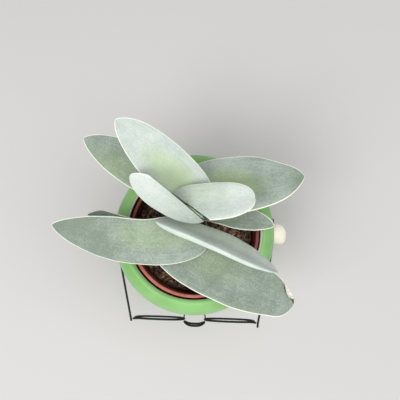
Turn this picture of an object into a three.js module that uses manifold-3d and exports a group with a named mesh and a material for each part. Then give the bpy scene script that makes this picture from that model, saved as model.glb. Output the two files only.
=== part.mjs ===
// Potted boomerang crassula: a sickle-leaved succulent in a nursery pot, inside a round green
// cachepot with ears and wire spectacles.
// Millimetres, +Z up. The origin is the centre of the cachepot's foot, and the spectacles face -Y.

import * as THREE from 'three';
import { mergeVertices } from 'three/addons/utils/BufferGeometryUtils.js';
import Module from 'manifold-3d';

const wasm = await Module();
wasm.setup();

const degrees = THREE.MathUtils.degToRad;

// Driving dimensions
const gap = 0.3; // clearance between pieces that touch

const cachepot = {
  height: 104,
  bellyRadius: 66.8,
  bellyHeight: 80,
  footRadius: 46,
  footFlare: 14, // how far the side curves out just above the foot
  footCurve: 12,
  rimRadius: 57.2,
  mouthRadius: 53.8,
  lip: 1.6, // depth of the rounded edge at the mouth
  wall: 4.4,
  floor: 7.5,
};

// The nose is half an ellipsoid on the front. Its middle lies sunk behind its tip.
const nose = { halfWidth: 4.6, reach: 70.6, halfHeight: 11, middle: 50, sunk: 12 };

const nursery = {
  rimRadius: 52.5,
  rimDepth: 9,
  rimWall: 1.8,
  wall: 1.2,
  base: 1.7,
  topRadius: 49.2,
  baseRadius: 37,
  height: 93.5,
  drainRadius: 4,
  drainCircle: 26,
  drains: 6,
};

const soil = { depthBelowRim: 12, bumps: 1.1, edgeDrop: 3, play: 0.9 };

// The stem leans: its axis runs from the first point up to the second. Its top is a short taper.
const stem = { from: [-8, 1, 72], to: [-0.8, 12.6, 134], radius: 5.2, topRadius: 3.6, taper: 6 };

// The two youngest leaves stand on edge in the slit between the top pair.
const shoot = {
  halfLength: 8, halfThickness: 0.7, halfHeight: 6, direction: -38, splay: 5, offset: [1.6, -1.2],
};
const slit = 1.2; // half the room that the top pair leaves between them
const foot = { topRadius: 3.6, radius: 3, sunk: 4 }; // carries each of the top pair on the stem

const ear = {
  centre: 67.5, sideways: 1, middle: 46, reach: 33, depth: 23, height: 34, boxy: 0.75,
  hollow: 0.6, hollowDepth: 5, hollowOffset: 2,
};

const wire = 0.9; // radius of the spectacles' wire

// The spectacles stand in front of the pot, with their arms over the ears.
const spectacles = {
  frontY: -73.6,
  rimInner: 9,
  rimOuter: 52.3,
  rimLow: 40,
  rimHigh: 67,
  bridgeLow: 53.5,
  bridgeHigh: 62.5,
  bridgeBow: 2.6,
  hinge: 63,
  askew: -2, // turned a little about the nose, in degrees
};

// Each leaf: where its midline starts, as an offset from the stem's axis and a height; the
// direction it sets off in (degrees from +X towards +Y) and how far it turns over its length;
// length, greatest width and thickness; rise at the base and at the tip; roll at the base and at
// the tip (right-hand edge up); clasp, how far the base reaches out towards the stem (to the left
// if positive); and where along its length it is widest.
const leaves = [
  {
    name: 'leaf_a', from: [13, 9], base: 100, heading: 144, turn: 10, length: 112, width: 33,
    thick: 6, rise: [12, 6], roll: [4, 10], clasp: 6, widest: 0.55,
  },
  {
    name: 'leaf_b', from: [13, 2], base: 123.8, heading: 129, turn: 16, length: 95, width: 36,
    thick: 6.2, rise: [25, 17], roll: [4, 8], clasp: 2, widest: 0.5,
  },
  {
    name: 'leaf_c', from: [10, -7], base: 139.5, heading: 159, turn: -14, length: 62, width: 27,
    thick: 6, rise: [20, 8], roll: [50, 44], clasp: 0, widest: 0.5, point: 0.56, slitSide: -1,
  },
  {
    name: 'leaf_d', from: [-18, 6.4], base: 138, heading: -6, turn: 15, length: 64, width: 28,
    thick: 6, rise: [18, 6], roll: [6, 8], clasp: 0, widest: 0.55, slitSide: 1,
  },
  {
    name: 'leaf_e', from: [-12, 24], base: 111.2, heading: 0, turn: 8, length: 100, width: 44,
    thick: 6.2, rise: [18, 4], roll: [4, 8], clasp: -2, widest: 0.48,
  },
  {
    name: 'leaf_f', from: [2, 8], base: 93.6, heading: 4, turn: -24, length: 69, width: 20,
    thick: 4.4, rise: [16, 12], roll: [2, 4], clasp: -4, widest: 0.55,
  },
  {
    name: 'leaf_g', from: [14, -18], base: 112, heading: 182, turn: -17, length: 118, width: 34,
    thick: 6.6, rise: [10, 2], roll: [8, 14], clasp: -4, widest: 0.46,
  },
  {
    name: 'leaf_h', from: [0, -6], base: 105, heading: 178, turn: -13, length: 80, width: 17,
    thick: 4.6, rise: [6, 3], roll: [2, 4], clasp: -3, widest: 0.55,
  },
  {
    name: 'leaf_i', from: [-26.3, -5.3], base: 128.8, heading: -14.7, turn: -16.5, length: 97.5,
    width: 29, thick: 7, rise: [6, -10], roll: [61, 57], clasp: 0, widest: 0.6, point: 0.77,
  },
  {
    name: 'leaf_j', from: [-28, -15], base: 98.5, heading: -25, turn: 4, length: 119, width: 41,
    thick: 6, rise: [12, -3], roll: [4, 2], clasp: 11, widest: 0.58, point: 0.5,
  },
];

const blade = {
  around: 14, // points round a section
  along: 15, // sections along the leaf
  trough: 0.1, // how far the edges stand up, as a share of the half width
  point: 0.66, // how sharp the tip is, less is blunter
  shoulder: 2.6, // how square the base is
  clasped: 0.16, // how much of the length the reach towards the stem takes
  baseThick: 1.1, // thickness at the base, as a share of the leaf's
  thinning: 0.45, // how much of that share is gone at the tip
  fullness: 0.8, // less is a squarer edge
};

const turns = 52; // segments round the pots
const upright = degrees(90);

// Solids: a closed mesh becomes a solid for joining and cutting, and comes back as a mesh.

function solidOf(geometry) {
  const bare = geometry.clone();
  bare.deleteAttribute('normal');
  bare.deleteAttribute('uv');
  const merged = mergeVertices(bare, 1e-4);
  return new wasm.Manifold(new wasm.Mesh({
    numProp: 3,
    vertProperties: new Float32Array(merged.attributes.position.array),
    triVerts: new Uint32Array(merged.index.array),
  }));
}

function geometryOf(solid) {
  const mesh = solid.getMesh();
  const geometry = new THREE.BufferGeometry();
  geometry.setAttribute('position', new THREE.BufferAttribute(mesh.vertProperties, 3));
  geometry.setIndex(new THREE.BufferAttribute(mesh.triVerts, 1));
  return geometry;
}

// A lathe about +Z from a closed outline of Vector2 (radius, height).
function turned(outline, segments) {
  return new THREE.LatheGeometry(outline, segments).rotateX(Math.PI / 2);
}

function cylinder(radiusTop, radiusBottom, low, high, segments) {
  const body = new THREE.CylinderGeometry(radiusTop, radiusBottom, high - low, segments);
  return body.rotateX(Math.PI / 2).translate(0, 0, (low + high) / 2);
}

// Wire along an open curve, as an extruded octagon.
function wireAlong(curve, steps) {
  const sides = 8;
  const section = new THREE.Shape();
  for (let i = 0; i < sides; i += 1) {
    const turn = i / sides * 2 * Math.PI;
    const point = [wire * Math.cos(turn), wire * Math.sin(turn)];
    if (i === 0) section.moveTo(...point);
    else section.lineTo(...point);
  }
  return new THREE.ExtrudeGeometry(section, { steps, extrudePath: curve, bevelEnabled: false });
}

// A closed loop of wire facing -Y, an oval with squarer corners, bowed forwards in its middle.
function wireLoop(halfWidth, halfHeight, bow, steps) {
  const squarer = 0.78;
  const centreline = (turn) => {
    const oval = (value) => Math.sign(value) * Math.abs(value) ** squarer;
    const x = halfWidth * oval(Math.cos(turn));
    return new THREE.Vector3(x, -bow * (1 - (x / halfWidth) ** 2), halfHeight * oval(Math.sin(turn)));
  };
  const tube = 0.5; // of the plain ring that is bent to the wire's course
  const ring = new THREE.TorusGeometry(1, tube, 8, steps);
  const spots = ring.attributes.position;
  const small = 0.01;
  for (let i = 0; i < spots.count; i += 1) {
    const turn = Math.atan2(spots.getY(i), spots.getX(i));
    const outward = (Math.hypot(spots.getX(i), spots.getY(i)) - 1) / tube;
    const forward = spots.getZ(i) / tube;
    const centre = centreline(turn);
    const ahead = centreline(turn + small).sub(centreline(turn - small)).normalize();
    const front = new THREE.Vector3(0, -1, 0).addScaledVector(ahead, ahead.y).normalize();
    const side = new THREE.Vector3().crossVectors(ahead, front);
    centre.addScaledVector(side, wire * outward).addScaledVector(front, wire * forward);
    spots.setXYZ(i, centre.x, centre.y, centre.z);
  }
  return ring;
}

// Cachepot: a round shoulder, a narrow mouth and a flat foot, with a small nose at the front.

function cachepotGeometry() {
  const { height, bellyRadius, bellyHeight, footRadius, rimRadius, mouthRadius, lip } = cachepot;
  const { wall, floor } = cachepot;
  const inner = bellyRadius - wall;
  const outline = new THREE.Path();
  outline.moveTo(0, 0);
  addSide(outline, 0);
  outline.bezierCurveTo(bellyRadius, bellyHeight + 10, bellyRadius - 3, height - 6, rimRadius, height - 1);
  outline.bezierCurveTo(rimRadius - 1, height, mouthRadius + lip, height, mouthRadius, height - lip);
  outline.lineTo(mouthRadius, height - wall);
  outline.bezierCurveTo(inner - wall, height - 2 * wall, inner, bellyHeight + 8, inner, bellyHeight);
  outline.bezierCurveTo(inner, bellyHeight / 2, footRadius + 10, floor + 8, footRadius - wall, floor);
  outline.lineTo(0, floor);
  const body = solidOf(turned(outline.getPoints(5), turns));
  const bump = new THREE.SphereGeometry(1, 20, 14);
  bump.scale(nose.halfWidth, nose.sunk, nose.halfHeight);
  bump.translate(0, nose.sunk - nose.reach, nose.middle);
  const inside = cylinder(inner - wall, inner - wall, floor, height, turns);
  return geometryOf(body.add(solidOf(bump).subtract(solidOf(inside))));
}

// The pot's side from the foot up to the belly, grown by a clearance.
function addSide(outline, grow) {
  const { bellyRadius, bellyHeight, footRadius, footFlare, footCurve } = cachepot;
  const [foot, belly] = [footRadius + grow, bellyRadius + grow];
  outline.lineTo(foot, 0);
  outline.bezierCurveTo(foot + footFlare, footCurve, belly, bellyHeight / 2, belly, bellyHeight);
}

// Ears: a lobe with squarer sides and a hollow in its front, cut to the pot's side.

function earGeometry(side) {
  const { centre, sideways, reach, depth, height, middle, boxy } = ear;
  const { hollow, hollowDepth, hollowOffset } = ear;
  const lobe = new THREE.SphereGeometry(1, 18, 12).rotateX(upright);
  const spots = lobe.attributes.position;
  for (let i = 0; i < spots.count; i += 1) {
    const [x, y] = [spots.getX(i), spots.getY(i)];
    const out = Math.hypot(x, y) || 1;
    const square = (value) => Math.sign(value) * Math.abs(value / out) ** boxy * out;
    spots.setXY(i, square(x), square(y));
  }
  lobe.scale(reach / 2, depth / 2, height / 2);
  const bowl = new THREE.SphereGeometry(1, 14, 8).rotateX(upright);
  bowl.scale(reach / 2 * hollow, hollowDepth, height / 2 * hollow);
  bowl.translate(hollowOffset, -depth / 2, 0);
  const shape = solidOf(lobe).subtract(solidOf(bowl)).translate([centre, sideways, middle]);
  const clear = shape.subtract(solidOf(turned(clearOfPot(), turns)));
  return geometryOf(side > 0 ? clear : clear.mirror([1, 0, 0]));
}

// The pot's outside with the clearance round it, as a filled outline.
function clearOfPot() {
  const outline = new THREE.Path();
  outline.moveTo(0, 0);
  addSide(outline, gap);
  outline.lineTo(cachepot.bellyRadius + gap, cachepot.height);
  outline.lineTo(0, cachepot.height);
  return outline.getPoints(5);
}

// Nursery pot: thin tapered wall, rolled rim and drain holes.

function nurseryGeometry() {
  const { rimRadius, rimDepth, rimWall, wall, base, topRadius, baseRadius } = nursery;
  const low = cachepot.floor + gap;
  const top = low + nursery.height;
  const shoulder = top - rimDepth;
  const rimInside = rimRadius - rimWall;
  const outline = [
    [0, low], [baseRadius, low], [topRadius, shoulder - 1.5], [rimRadius - 0.3, shoulder],
    [rimRadius, top - 1], [rimRadius - 0.5, top], [rimInside, top], [rimInside - 0.4, top - 1],
    [topRadius - wall, shoulder - 2.5], [baseRadius - wall, low + base], [0, low + base],
  ].map(([r, z]) => new THREE.Vector2(r, z));
  let body = solidOf(turned(outline, turns));
  for (let i = 0; i < nursery.drains; i += 1) {
    const turn = i / nursery.drains * 2 * Math.PI;
    const hole = cylinder(nursery.drainRadius, nursery.drainRadius, low - base, low + 2 * base, 12);
    hole.translate(nursery.drainCircle * Math.cos(turn), nursery.drainCircle * Math.sin(turn), 0);
    body = body.subtract(solidOf(hole));
  }
  return geometryOf(body);
}

// Soil: fills the nursery pot, with a crumbly top and a plain hole for the stem.

function soilGeometry() {
  const { wall, base, topRadius, baseRadius, height } = nursery;
  const low = cachepot.floor + gap + base + gap;
  const top = cachepot.floor + gap + height - soil.depthBelowRim;
  const side = topRadius - wall - soil.play;
  const outline = [
    new THREE.Vector2(0, low),
    new THREE.Vector2(baseRadius - wall - 2 * gap, low),
    new THREE.Vector2(side, top - soil.edgeDrop),
  ];
  const rings = 9;
  for (let i = 1; i <= rings; i += 1) {
    outline.push(new THREE.Vector2(side * (1 - i / rings), top));
  }
  const body = turned(outline, 44);
  const spots = body.attributes.position;
  for (let i = 0; i < spots.count; i += 1) {
    const [x, y, z] = [spots.getX(i), spots.getY(i), spots.getZ(i)];
    const mounds = Math.sin(x * 0.31 + y * 0.17) * Math.cos(y * 0.37 - x * 0.11);
    const crumbs = 0.5 * Math.sin(x * 0.9) * Math.sin(y * 0.8 + 1);
    if (z > top - 1) spots.setZ(i, z + soil.bumps * (mounds + crumbs));
  }
  const room = stem.radius + gap;
  const hole = solidOf(stemRod(stem.from[2], stem.to[2], room, room));
  return geometryOf(solidOf(body).subtract(hole));
}

// Where the stem's axis is at a height.
function stemAxis(height) {
  const [low, high] = [new THREE.Vector3(...stem.from), new THREE.Vector3(...stem.to)];
  return low.lerp(high, (height - stem.from[2]) / (stem.to[2] - stem.from[2]));
}

// A rod along the stem's axis, from one height to another.
function stemRod(low, high, radiusLow, radiusHigh) {
  const [a, b] = [stemAxis(low), stemAxis(high)];
  const rod = new THREE.CylinderGeometry(radiusHigh, radiusLow, a.distanceTo(b), 20);
  const lean = new THREE.Quaternion().setFromUnitVectors(
    new THREE.Vector3(0, 1, 0), b.clone().sub(a).normalize(),
  );
  return rod.applyQuaternion(lean).translate(...a.lerp(b, 0.5).toArray());
}

function stemGeometry() {
  const [low, high] = [stem.from[2] + gap, stem.to[2]];
  const shank = solidOf(stemRod(low, high - stem.taper, stem.radius, stem.radius));
  const top = solidOf(stemRod(high - stem.taper - gap, high, stem.radius, stem.topRadius));
  return geometryOf(shank.add(top));
}

// Shoot: two thin young leaves face to face, standing on the stem's top.
function shootGeometry() {
  const { halfLength, halfThickness, halfHeight, direction, splay, offset } = shoot;
  const halves = [-1, 1].map((side) => {
    const young = new THREE.SphereGeometry(1, 10, 8).rotateX(upright);
    young.scale(halfLength, halfThickness, halfHeight).rotateY(degrees(side * splay));
    young.translate(side * halfThickness, side * halfThickness / 3, 0);
    return solidOf(young.rotateZ(degrees(direction)));
  });
  const top = stemAxis(stem.to[2]);
  const place = [top.x + offset[0], top.y + offset[1], top.z + halfHeight + gap];
  return geometryOf(halves[0].add(halves[1]).translate(place));
}

// Leaves: a thick blade swept along a curved midline beside the stem, cut to fit round it.

// Share of the greatest width at a share u of the length: a rounded base and a pointed tip.
function shareAt(u, widest, point) {
  if (u < widest) return Math.sqrt(Math.max(0, 1 - (1 - u / widest) ** blade.shoulder));
  return Math.max(0, 1 - ((u - widest) / (1 - widest)) ** 2) ** point;
}

function leafFrames(leaf) {
  const fine = 160;
  const step = leaf.length / fine;
  const axis = stemAxis(leaf.base);
  const place = new THREE.Vector3(axis.x + leaf.from[0], axis.y + leaf.from[1], leaf.base);
  const frames = [];
  for (let i = 0; i <= fine; i += 1) {
    const u = i / fine;
    const rise = degrees(THREE.MathUtils.lerp(leaf.rise[0], leaf.rise[1], u));
    const turn = degrees(leaf.heading + leaf.turn * u);
    const roll = degrees(THREE.MathUtils.lerp(leaf.roll[0], leaf.roll[1], u));
    const ahead = new THREE.Vector3(
      Math.cos(rise) * Math.cos(turn), Math.cos(rise) * Math.sin(turn), Math.sin(rise),
    );
    const left = new THREE.Vector3(-Math.sin(turn), Math.cos(turn), 0).applyAxisAngle(ahead, -roll);
    frames.push({ u, place: place.clone(), left, up: new THREE.Vector3().crossVectors(ahead, left) });
    place.addScaledVector(ahead, step);
  }
  return frames;
}

// The share of the length where the midline passes closest to the stem.
function besideStem(frames) {
  const away = frames.map(({ place }) => {
    const axis = stemAxis(place.z);
    return Math.hypot(place.x - axis.x, place.y - axis.y);
  });
  return frames[away.indexOf(Math.min(...away))].u;
}

// The rings of points round the blade, with a single point at each end.
function bladeSurface(leaf, frames, beside) {
  const { around, along } = blade;
  const positions = [];
  const index = [];
  const sections = [];
  const addPoint = (point) => positions.push(...point.toArray()) / 3 - 1;
  const start = addPoint(frames[0].place);
  for (let k = 1; k < along; k += 1) {
    const share = (1 - Math.cos(k / along * Math.PI)) / 2;
    const frame = frames[Math.round(share * (frames.length - 1))];
    sections.push(bladeSection(leaf, frame, beside).map(addPoint));
  }
  const tip = addPoint(frames[frames.length - 1].place);
  const last = sections.length - 1;
  for (let j = 0; j < around; j += 1) {
    const next = (j + 1) % around;
    index.push(start, sections[0][next], sections[0][j]);
    index.push(tip, sections[last][j], sections[last][next]);
    for (let k = 0; k < last; k += 1) {
      const [a, b, c, d] = [sections[k][j], sections[k][next], sections[k + 1][next], sections[k + 1][j]];
      index.push(a, b, c, a, c, d);
    }
  }
  const geometry = new THREE.BufferGeometry();
  geometry.setAttribute('position', new THREE.Float32BufferAttribute(positions, 3));
  geometry.setIndex(index);
  return geometry;
}

// One section of the blade: a flattened oval with its edges raised, reaching out beside the stem.
function bladeSection(leaf, { u, place, left, up }, beside) {
  const share = shareAt(u, leaf.widest, leaf.point ?? blade.point);
  const reach = Math.exp(-(((u - beside) / blade.clasped) ** 2)) * leaf.clasp;
  const halfLeft = leaf.width / 2 * share + Math.max(0, reach);
  const halfRight = leaf.width / 2 * share + Math.max(0, -reach);
  const half = (halfLeft + halfRight) / 2;
  const taper = blade.baseThick - blade.thinning * u;
  const thick = leaf.thick / 2 * taper * Math.min(1, share * 1.15);
  return Array.from({ length: blade.around }, (_, j) => {
    const turn = j / blade.around * 2 * Math.PI;
    const [across, over] = [Math.cos(turn), Math.sin(turn)];
    const bulge = Math.sign(over) * Math.abs(over) ** blade.fullness;
    const edge = blade.trough * half * (across * across - 0.4);
    return place.clone()
      .addScaledVector(left, half * across + (halfLeft - halfRight) / 2)
      .addScaledVector(up, thick * bulge + edge);
  });
}

function bladeGeometry(leaf) {
  const frames = leafFrames(leaf);
  const beside = besideStem(frames);
  const whole = solidOf(bladeSurface(leaf, frames, beside));
  const clear = stem.radius + gap;
  const room = solidOf(stemRod(stem.from[2], stem.to[2] + gap, clear, clear));
  if (!leaf.slitSide) return geometryOf(whole.subtract(room));
  const footed = whole.add(solidOf(footGeometry(frames.find(({ u }) => u === beside).place)));
  const across = degrees(shoot.direction + 90);
  const top = stemAxis(stem.to[2]);
  const normal = [leaf.slitSide * Math.cos(across), leaf.slitSide * Math.sin(across), 0];
  const offset = normal[0] * top.x + normal[1] * top.y + slit;
  return geometryOf(footed.subtract(room).trimByPlane(normal, offset));
}

// A short foot from the stem's top up to the blade of one of the top pair.
function footGeometry(under) {
  const low = stemAxis(stem.to[2] - foot.sunk);
  const rod = new THREE.CylinderGeometry(foot.topRadius, foot.radius, under.distanceTo(low), 12);
  const lean = new THREE.Quaternion().setFromUnitVectors(
    new THREE.Vector3(0, 1, 0), under.clone().sub(low).normalize(),
  );
  return rod.applyQuaternion(lean).translate(...low.lerp(under, 0.5).toArray());
}

// Spectacles: two rims with a nose pad each, a small looped bridge and two arms.

function rimGeometry(side) {
  const { frontY, rimInner, rimOuter, rimLow, rimHigh, hinge } = spectacles;
  const middle = (rimInner + rimOuter) / 2;
  const loop = wireLoop((rimOuter - rimInner) / 2, (rimHigh - rimLow) / 2, 0, 36);
  loop.translate(middle, frontY, (rimLow + rimHigh) / 2);
  const pad = { x: nose.halfWidth + 0.6, y: 3.6 - nose.reach, z: nose.middle + 2 };
  const padArm = new THREE.CatmullRomCurve3([
    new THREE.Vector3(rimInner + 0.2, frontY, nose.middle + 4),
    new THREE.Vector3(rimInner - 0.6, frontY + 2.4, nose.middle + 3.4),
    new THREE.Vector3(pad.x, pad.y, pad.z),
  ]);
  const lug = new THREE.LineCurve3(
    new THREE.Vector3(rimOuter - 4, frontY, hinge), new THREE.Vector3(rimOuter + wire, frontY, hinge),
  );
  const bead = new THREE.SphereGeometry(1, 8, 6).scale(wire, 1.6, 3).translate(pad.x, pad.y, pad.z);
  const whole = [wireAlong(padArm, 6), bead, wireAlong(lug, 1)]
    .reduce((rim, extra) => rim.add(solidOf(extra)), solidOf(loop));
  return geometryOf(side > 0 ? whole : whole.mirror([1, 0, 0]));
}

function bridgeGeometry() {
  const { frontY, rimInner, bridgeLow, bridgeHigh, bridgeBow } = spectacles;
  const loop = wireLoop(rimInner - 0.4, (bridgeHigh - bridgeLow) / 2, bridgeBow, 24);
  return loop.translate(0, frontY - 2 * wire, (bridgeLow + bridgeHigh) / 2);
}

function armGeometry(side) {
  const { frontY, rimOuter, hinge, askew } = spectacles;
  const besideRim = rimOuter + 2 * wire + gap;
  const overEar = ear.middle + ear.height / 2 + wire + gap;
  const sprung = side * nose.reach * Math.sin(degrees(askew)); // bent to sit alike on both ears
  const route = new THREE.CatmullRomCurve3([
    new THREE.Vector3(besideRim, frontY - 3.4, hinge),
    new THREE.Vector3(besideRim + 0.2, frontY - 0.5, hinge),
    new THREE.Vector3(64 + sprung * 0.5, -31, hinge + 0.4),
    new THREE.Vector3(68.6 + sprung, -5, overEar),
    new THREE.Vector3(68.8 + sprung, 7, overEar - 0.2),
    new THREE.Vector3(70 + sprung, 15, overEar - 5),
    new THREE.Vector3(71 + sprung, 17.5, overEar - 13),
  ], false, 'centripetal');
  const arm = solidOf(wireAlong(route, 28));
  return geometryOf(side > 0 ? arm : arm.mirror([1, 0, 0]));
}

// The whole part: the holder with the spectacles on its nose and ears, and the plant in its pot.

function piece(name, geometry, colour, roughness, metalness = 0) {
  const bare = new THREE.BufferGeometry();
  bare.setAttribute('position', geometry.attributes.position);
  bare.setIndex(geometry.index);
  bare.computeVertexNormals();
  const material = new THREE.MeshStandardMaterial({ color: colour, roughness, metalness });
  const mesh = new THREE.Mesh(bare, material);
  mesh.name = name;
  return mesh;
}

const wirePiece = (name, geometry) => piece(name, geometry, 0x2a292b, 0.45, 0.8);

const wires = new THREE.Group();
wires.position.y = nose.reach;
wires.add(
  wirePiece('right_rim', rimGeometry(1)),
  wirePiece('left_rim', rimGeometry(-1)),
  wirePiece('bridge', bridgeGeometry()),
  wirePiece('right_arm', armGeometry(1)),
  wirePiece('left_arm', armGeometry(-1)),
);
const onNose = new THREE.Group();
onNose.position.y = -nose.reach;
onNose.rotation.z = degrees(spectacles.askew);
onNose.add(wires);

const holder = new THREE.Group();
holder.add(
  piece('cachepot', cachepotGeometry(), 0x7fb56b, 0.6),
  piece('right_ear', earGeometry(1), 0xf3ecd8, 0.5),
  piece('left_ear', earGeometry(-1), 0xf3ecd8, 0.5),
  onNose,
);

const plant = new THREE.Group();
plant.add(
  piece('nursery_pot', nurseryGeometry(), 0x9a4a32, 0.6),
  piece('soil', soilGeometry(), 0x35241a, 0.95),
  piece('stem', stemGeometry(), 0x8f9c78, 0.7),
  piece('shoot', shootGeometry(), 0x91a388, 0.7),
);
for (const leaf of leaves) plant.add(piece(leaf.name, bladeGeometry(leaf), 0xa9bba8, 0.7));

const group = new THREE.Group();
group.add(holder, plant);

export default group;
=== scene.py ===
# %% [markdown]
# # A potted boomerang crassula
#
# A sickle-leaved succulent grows in a thin nursery pot. That pot stands in a round matte green
# cachepot with cream ears, a small nose and wire spectacles. The solids of the part give every
# place and size. This script gives each piece its fine surface and its finish.
#
# All forms are worked out in millimetres and scaled to metres at the end, because the sizes of a
# pot plant are easier to read that way.

import math

import bmesh
import bpy
import numpy as np
from mathutils import Euler, Matrix, Vector, kdtree, noise


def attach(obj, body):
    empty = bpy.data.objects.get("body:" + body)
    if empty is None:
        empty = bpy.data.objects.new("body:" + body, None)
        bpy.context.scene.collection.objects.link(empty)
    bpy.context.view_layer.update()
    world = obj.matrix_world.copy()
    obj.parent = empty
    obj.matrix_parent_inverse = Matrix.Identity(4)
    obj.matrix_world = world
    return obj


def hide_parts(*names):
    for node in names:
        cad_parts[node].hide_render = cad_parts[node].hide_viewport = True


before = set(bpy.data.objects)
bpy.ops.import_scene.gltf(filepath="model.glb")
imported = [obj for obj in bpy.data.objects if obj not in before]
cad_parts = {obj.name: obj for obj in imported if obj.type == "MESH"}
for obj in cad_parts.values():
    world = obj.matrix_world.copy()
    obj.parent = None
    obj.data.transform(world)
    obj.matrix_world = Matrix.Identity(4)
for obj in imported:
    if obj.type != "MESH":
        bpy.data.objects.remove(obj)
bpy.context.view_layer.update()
MM = 0.001
print("solids:", len(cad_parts))

# %% [markdown]
# ## The camera
#
# The photo looks almost straight down, from about 33 cm above the pot's rim, with a slight tilt.
# The picture is square, so a 36 mm sensor with a lens of this length gives its field of view.

# %% Camera
FOCAL, SENSOR = 37.35, 36
EYE, EYE_TILT = (0.0047, -0.0238, 0.4316), math.radians(8.5)


def linked(name, data):
    """An object on the given data, placed in the scene."""
    made = bpy.data.objects.new(name, data)
    bpy.context.scene.collection.objects.link(made)
    return made


camera_data = bpy.data.cameras.new("camera")
camera_data.lens, camera_data.sensor_width = FOCAL, SENSOR
camera = linked("camera", camera_data)
camera.location, camera.rotation_euler = EYE, (EYE_TILT, 0, 0)
bpy.context.scene.camera = camera
bpy.context.scene.view_settings.view_transform = "Standard"
print("camera at", EYE, "with a lens of", FOCAL, "mm")

# %% [markdown]
# ## Node trees from Python expressions
#
# A material or a Geometry Nodes tree is easier to read as sums and products than as boxes. A Value
# wraps one output of a node. Its operators add Math nodes, and every other node comes from the
# one method, Graph.node.


# %% Values and graphs
class Value:
    """One output of a node. Arithmetic on it adds Math nodes."""

    def __init__(self, graph, socket):
        self.graph = graph
        self.socket = socket

    def math(self, operation, *values):
        inputs = dict(enumerate((self, *values)))
        return self.graph.node("ShaderNodeMath", inputs, operation=operation)

    def __add__(self, other):
        return self.math("ADD", other)

    __radd__ = __add__

    def __sub__(self, other):
        return self.math("SUBTRACT", other)

    def __rsub__(self, other):
        return (self * -1) + other

    def __mul__(self, other):
        return self.math("MULTIPLY", other)

    __rmul__ = __mul__

    def __truediv__(self, other):
        return self.math("DIVIDE", other)

    def __pow__(self, other):
        return self.math("POWER", other)

    def __abs__(self):
        return self.math("ABSOLUTE")

    def ramp(self, low, high):
        """0 below low, 1 above high and smooth between. low may be the larger one."""
        flip = low > high
        values = {"Value": self, "From Min": min(low, high), "From Max": max(low, high)}
        values |= {"To Min": 1.0 if flip else 0.0, "To Max": 0.0 if flip else 1.0}
        return self.graph.node("ShaderNodeMapRange", values, interpolation_type="SMOOTHSTEP")


class Graph:
    """Makes the nodes of one tree."""

    def __init__(self, tree):
        self.tree = tree

    def feed(self, socket, value):
        if isinstance(value, Value):
            self.tree.links.new(value.socket, socket)
        else:
            socket.default_value = value

    def node(self, kind, values=None, output=0, **settings):
        made = self.tree.nodes.new(kind)
        for name, value in settings.items():
            setattr(made, name, value)
        for key, value in (values or {}).items():
            self.feed(made.inputs[key], value)
        return Value(self, made.outputs[output]) if made.outputs else None


# %% [markdown]
# ## A finish
#
# Each finish starts from the Principled shader. Patterns read Object coordinates, which are the
# same as the part's own metres here, or an attribute that the leaf maker writes. Only colour,
# roughness and the bump change over a surface. Everything else is one value for the whole piece.


# %% Finish
def srgb(red, green, blue):
    """A screen colour of 0 to 255 as the linear colour that a shader takes."""
    shares = (red / 255, green / 255, blue / 255)
    return (*(((s + 0.055) / 1.055) ** 2.4 if s > 0.04 else s / 12.92 for s in shares), 1.0)


class Finish(Graph):
    """A material on the Principled shader."""

    def __init__(self, name, **constants):
        self.material = bpy.data.materials.new(name)
        self.material.use_nodes = True
        super().__init__(self.material.node_tree)
        self.shader = self.tree.nodes["Principled BSDF"]
        self.place = self.node("ShaderNodeTexCoord", output="Object")
        for title, value in constants.items():
            title = title.replace("_", " ").title().replace("Ior", "IOR")
            self.shader.inputs[title].default_value = value

    def noise(self, scale, detail=3.0, roughness=0.55, vector=None):
        values = {"Scale": scale, "Detail": detail, "Roughness": roughness}
        values["Vector"] = vector or self.place
        return self.node("ShaderNodeTexNoise", values)

    def cells(self, scale):
        return self.node("ShaderNodeTexVoronoi", {"Scale": scale, "Vector": self.place})

    def parts(self, vector):
        """The three numbers of a vector."""
        values = {"Vector": vector}
        return [self.node("ShaderNodeSeparateXYZ", values, output=axis) for axis in range(3)]

    def mix(self, share, first, second):
        values = {0: share, 6: first, 7: second}
        return self.node("ShaderNodeMix", values, output=2, data_type="RGBA")

    def bump(self, height, millimetres, strength=1.0):
        values = {"Height": height, "Distance": millimetres * MM, "Strength": strength}
        self.feed(self.shader.inputs["Normal"], self.node("ShaderNodeBump", values))

    def paint(self, colour, roughness=None):
        self.feed(self.shader.inputs["Base Color"], colour)
        if roughness is not None:
            self.feed(self.shader.inputs["Roughness"], roughness)
        return self.material


# %% [markdown]
# ## Making and handing over a piece
#
# A finished piece has its object at the origin and its place in its mesh, just as a solid has.
# It rides on the one body of this part, takes its material, and hides the solids that it stands
# for.


# %% Mesh helpers
def mesh_object(name, points, faces, edges=()):
    """An object from points in millimetres."""
    mesh = bpy.data.meshes.new(name)
    mesh.from_pydata([tuple(p) for p in np.asarray(points) * MM], edges, faces)
    mesh.validate()
    return linked(name, mesh)


def plain_shape(name, create, place, **sizes):
    """One of Blender's plain shapes at a place. It only cuts or rounds off another piece."""
    work = bmesh.new()
    create(work, matrix=place, **sizes)
    mesh = bpy.data.meshes.new(name)
    work.to_mesh(mesh)
    work.free()
    return linked(name, mesh)


def mended(made):
    """The object with doubled points joined and every face turned outwards."""
    work = bmesh.new()
    work.from_mesh(made.data)
    bmesh.ops.remove_doubles(work, verts=work.verts, dist=1e-7)
    bmesh.ops.recalc_face_normals(work, faces=work.faces)
    work.to_mesh(made.data)
    work.free()
    return made


def baked(made):
    """The object with its modifiers turned into plain mesh."""
    depsgraph = bpy.context.evaluated_depsgraph_get()
    mesh = bpy.data.meshes.new_from_object(made.evaluated_get(depsgraph))
    made.modifiers.clear()
    made.data = mesh
    mesh.name = made.name
    return made


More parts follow.
